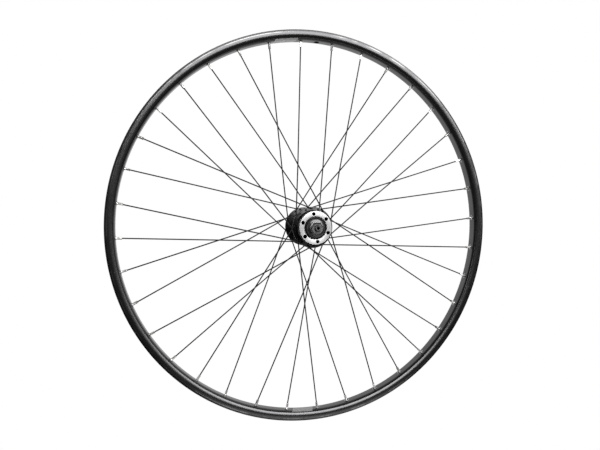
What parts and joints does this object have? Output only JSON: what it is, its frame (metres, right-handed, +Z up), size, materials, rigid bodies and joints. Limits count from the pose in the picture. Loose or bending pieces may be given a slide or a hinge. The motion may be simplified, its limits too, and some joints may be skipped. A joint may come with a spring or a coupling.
{
  "type": "bicycle wheel",
  "caption": "Bicycle front wheel with a black double-wall rim, crossed steel spokes and a black disc-brake hub that spins on a hollow quick-release axle.",
  "frame": {"origin": "centre of the rim, on the axle's axis", "axes": "+Y along the axle, away from the disc side; +Z up; the valve hole is near the top"},
  "size_m": [0.6339, 0.108, 0.634],
  "materials": {
    "rim_black": "satin black anodised",
    "spoke_steel": "drawn stainless wire",
    "nipple_plating": "nickel plated brass",
    "eyelet_steel": "bright pressed steel",
    "hub_black": "black anodised, machined disc face",
    "bearing_steel": "ground",
    "cap_steel": "pressed, dark",
    "boot_rubber": "satin",
    "nut_steel": "dark zinc",
    "axle_steel": "dark threaded steel"
  },
  "bodies": {
    "axle_set": {"axle": "axle_steel", "bearing_cone_disc_side": "bearing_steel", "bearing_cone_plain_side": "bearing_steel", "boot_disc_side": "boot_rubber", "boot_plain_side": "boot_rubber", "washer_disc_side": "nut_steel", "washer_plain_side": "nut_steel", "locknut_disc_side": "nut_steel", "locknut_plain_side": "nut_steel"},
    "wheel": {"rim": "rim_black", "eyelets": "eyelet_steel", "spoke_nipples": "nipple_plating", "spoke_disc_trailing_1": "spoke_steel", "spoke_disc_trailing_2": "spoke_steel", "spoke_disc_trailing_3": "spoke_steel", "spoke_disc_trailing_4": "spoke_steel", "spoke_disc_trailing_5": "spoke_steel", "spoke_disc_trailing_6": "spoke_steel", "spoke_disc_trailing_7": "spoke_steel", "spoke_disc_trailing_8": "spoke_steel", "spoke_disc_trailing_9": "spoke_steel", "spoke_disc_leading_1": "spoke_steel", "spoke_disc_leading_2": "spoke_steel", "spoke_disc_leading_3": "spoke_steel", "spoke_disc_leading_4": "spoke_steel", "spoke_disc_leading_5": "spoke_steel", "spoke_disc_leading_6": "spoke_steel", "spoke_disc_leading_7": "spoke_steel", "spoke_disc_leading_8": "spoke_steel", "spoke_disc_leading_9": "spoke_steel", "spoke_plain_trailing_1": "spoke_steel", "spoke_plain_trailing_2": "spoke_steel", "spoke_plain_trailing_3": "spoke_steel", "spoke_plain_trailing_4": "spoke_steel", "spoke_plain_trailing_5": "spoke_steel", "spoke_plain_trailing_6": "spoke_steel", "spoke_plain_trailing_7": "spoke_steel", "spoke_plain_trailing_8": "spoke_steel", "spoke_plain_trailing_9": "spoke_steel", "spoke_plain_leading_1": "spoke_steel", "spoke_plain_leading_2": "spoke_steel", "spoke_plain_leading_3": "spoke_steel", "spoke_plain_leading_4": "spoke_steel", "spoke_plain_leading_5": "spoke_steel", "spoke_plain_leading_6": "spoke_steel", "spoke_plain_leading_7": "spoke_steel", "spoke_plain_leading_8": "spoke_steel", "spoke_plain_leading_9": "spoke_steel", "hub_shell": "hub_black", "bearing_cup_disc_side": "bearing_steel", "bearing_cup_plain_side": "bearing_steel", "dust_cap_disc_side": "cap_steel", "dust_cap_plain_side": "cap_steel"},
    "ball_rows": {"bearing_balls": "bearing_steel"}
  },
  "joints": [
    {"name": "wheel_spin", "type": "hinge", "parent": "axle_set", "child": "wheel", "pos_m": [0, 0, 0], "axis": [0, 1, 0], "continuous": true},
    {"name": "ball_row_spin", "type": "hinge", "parent": "axle_set", "child": "ball_rows", "pos_m": [0, 0, 0], "axis": [0, 1, 0], "continuous": true}
  ],
  "couplings": [
    {"joint": "ball_row_spin", "follows": "wheel_spin", "ratio": 0.6}
  ]
}
